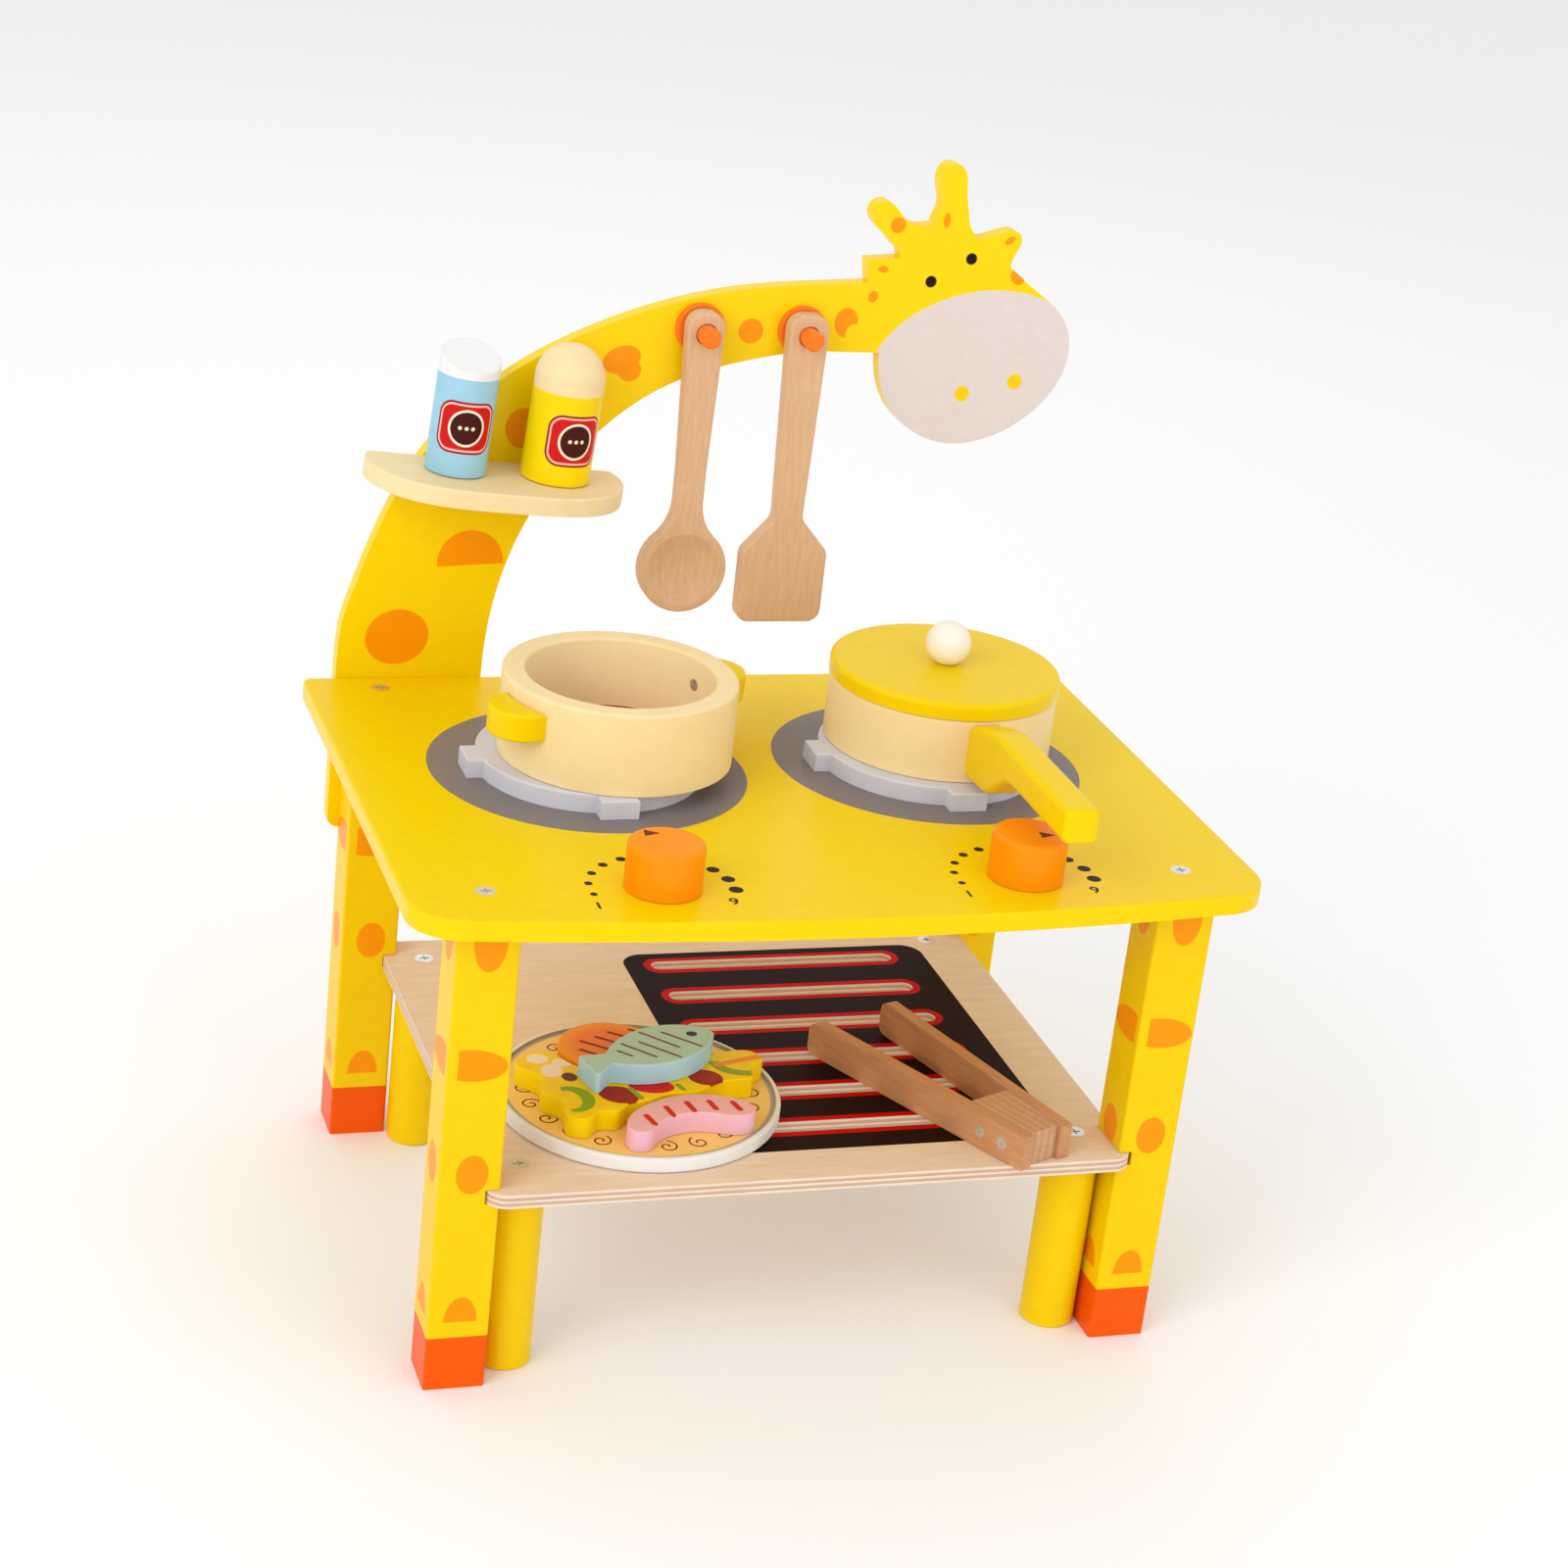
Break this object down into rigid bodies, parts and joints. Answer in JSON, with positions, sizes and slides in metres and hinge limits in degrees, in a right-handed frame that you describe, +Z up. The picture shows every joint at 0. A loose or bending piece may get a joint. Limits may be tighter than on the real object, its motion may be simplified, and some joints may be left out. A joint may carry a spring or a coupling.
{
  "type": "toy barbecue grill",
  "caption": "Wooden giraffe-shaped play hob with pot, saucepan, hanging tools and a slotted grill shelf with toy food and tongs.",
  "frame": {"origin": "on the floor under the centre of the whole toy's box", "axes": "+X to the right seen from the front, +Y to the back, +Z up"},
  "size_m": [0.352, 0.2644, 0.4489],
  "materials": {
    "leg_paint": "gloss yellow paint with orange spots and orange socks",
    "post_paint": "gloss yellow paint",
    "tabletop_paint": "gloss yellow paint with two printed grey discs",
    "giraffe_paint": "gloss yellow paint with orange spots and a pale muzzle",
    "yellow_paint": "gloss yellow paint",
    "cream_paint": "satin cream paint",
    "plywood": "clear-lacquered birch plywood with a dark printed grill panel",
    "peg_paint": "gloss orange paint",
    "knob_paint": "gloss orange paint",
    "trivet_paint": "satin light grey paint",
    "beech": "clear-lacquered beech",
    "tool_beech": "clear-lacquered light beech",
    "white_paint": "satin white paint",
    "blue_paint": "gloss light blue paint with a red band label",
    "plate_paint": "white painted rim round a printed yellow face",
    "omelette_paint": "gloss yellow paint with printed filling",
    "steak_paint": "gloss orange paint with printed grill lines",
    "sausage_paint": "gloss pink paint with printed red lines",
    "fish_paint": "gloss pale blue paint with printed grill lines",
    "steel": "zinc-plated steel"
  },
  "bodies": {
    "stand": {"leg_front_left": "leg_paint", "leg_front_right": "leg_paint", "leg_rear_left": "leg_paint", "leg_rear_right": "leg_paint", "post_front_left": "post_paint", "post_front_right": "post_paint", "post_rear_left": "post_paint", "post_rear_right": "post_paint", "peg_left": "peg_paint", "peg_right": "peg_paint", "trivet_left": "trivet_paint", "trivet_right": "trivet_paint", "tabletop": "tabletop_paint", "giraffe_board": "giraffe_paint", "grill_shelf": "plywood", "spice_shelf": "cream_paint", "tabletop_screws": "steel", "shelf_screws": "steel", "board_leg_screws": "steel", "board_top_screws": "steel", "spice_shelf_screws": "steel"},
    "knob_left": {"knob_left": "knob_paint", "knob_spindle_left": "beech", "knob_retainer_left": "beech"},
    "knob_right": {"knob_right": "knob_paint", "knob_spindle_right": "beech", "knob_retainer_right": "beech"},
    "pot": {"pot_body": "cream_paint", "pot_base": "cream_paint", "pot_handle_left": "yellow_paint", "pot_handle_right": "yellow_paint", "pot_screws": "steel"},
    "pan": {"pan_body": "cream_paint", "pan_base": "cream_paint", "pan_handle": "yellow_paint", "pan_screws": "steel"},
    "lid": {"lid_disc": "yellow_paint", "lid_spigot": "cream_paint", "lid_ball": "white_paint", "lid_screw": "steel"},
    "spoon": {"spoon": "tool_beech"},
    "spatula": {"spatula": "tool_beech"},
    "shaker_blue": {"shaker_blue_body": "blue_paint", "shaker_blue_cap": "white_paint"},
    "shaker_yellow": {"shaker_yellow_body": "yellow_paint", "shaker_yellow_cap": "cream_paint"},
    "plate": {"plate": "plate_paint"},
    "omelette": {"omelette": "omelette_paint"},
    "steak": {"steak": "steak_paint"},
    "sausage": {"sausage": "sausage_paint"},
    "fish": {"fish": "fish_paint"},
    "tongs": {"tongs_block": "beech"},
    "tongs_arm_left": {"tongs_arm_left": "beech", "tongs_screws_left": "steel"},
    "tongs_arm_right": {"tongs_arm_right": "beech", "tongs_screws_right": "steel"}
  },
  "joints": [
    {"name": "knob_left_turn", "type": "hinge", "parent": "stand", "child": "knob_left", "pos_m": [-0.075, -0.09855, 0.213], "axis": [0, 0, 1], "continuous": true},
    {"name": "knob_right_turn", "type": "hinge", "parent": "stand", "child": "knob_right", "pos_m": [0.075, -0.09855, 0.213], "axis": [0, 0, 1], "continuous": true},
    {"name": "pot_lift", "type": "slide", "parent": "stand", "child": "pot", "axis": [0, 0, 1], "range_m": [0, 0.12]},
    {"name": "pan_lift", "type": "slide", "parent": "stand", "child": "pan", "axis": [0, 0, 1], "range_m": [0, 0.12]},
    {"name": "lid_lift", "type": "slide", "parent": "pan", "child": "lid", "axis": [0, 0, 1], "range_m": [0, 0.06]},
    {"name": "spoon_swing", "type": "hinge", "parent": "stand", "child": "spoon", "pos_m": [-0.0125, 0.11625, 0.3733], "axis": [0, 1, 0], "range_deg": [-3, 16]},
    {"name": "spatula_swing", "type": "hinge", "parent": "stand", "child": "spatula", "pos_m": [0.0339, 0.11625, 0.3733], "axis": [0, 1, 0], "range_deg": [-25, 3]},
    {"name": "shaker_blue_lift", "type": "slide", "parent": "stand", "child": "shaker_blue", "axis": [0.075, 0, 0.9972], "range_m": [0, 0.06]},
    {"name": "shaker_yellow_lift", "type": "slide", "parent": "stand", "child": "shaker_yellow", "axis": [0.075, 0, 0.9972], "range_m": [0, 0.06]},
    {"name": "plate_lift", "type": "slide", "parent": "stand", "child": "plate", "axis": [0, 0, 1], "range_m": [0, 0.03]},
    {"name": "omelette_lift", "type": "slide", "parent": "plate", "child": "omelette", "axis": [0, 0, 1], "range_m": [0, 0.015]},
    {"name": "steak_lift", "type": "slide", "parent": "omelette", "child": "steak", "axis": [0, 0, 1], "range_m": [0, 0.015]},
    {"name": "fish_lift", "type": "slide", "parent": "steak", "child": "fish", "axis": [0, 0, 1], "range_m": [0, 0.02]},
    {"name": "sausage_lift", "type": "slide", "parent": "plate", "child": "sausage", "axis": [0, 0, 1], "range_m": [0, 0.03]},
    {"name": "tongs_lift", "type": "slide", "parent": "stand", "child": "tongs", "axis": [0, 0, 1], "range_m": [0, 0.06]},
    {"name": "tongs_squeeze_left", "type": "hinge", "parent": "tongs", "child": "tongs_arm_left", "pos_m": [0.07245, -0.08515, 0.0973], "axis": [0, 0, 1], "range_deg": [-4.5, 0], "stiffness_Nm_per_rad": 0.5},
    {"name": "tongs_squeeze_right", "type": "hinge", "parent": "tongs", "child": "tongs_arm_right", "pos_m": [0.09196, -0.07741, 0.0973], "axis": [0, 0, 1], "range_deg": [0, 4.5], "stiffness_Nm_per_rad": 0.5}
  ],
  "couplings": [
    {"joint": "tongs_squeeze_right", "follows": "tongs_squeeze_left", "ratio": -1}
  ]
}
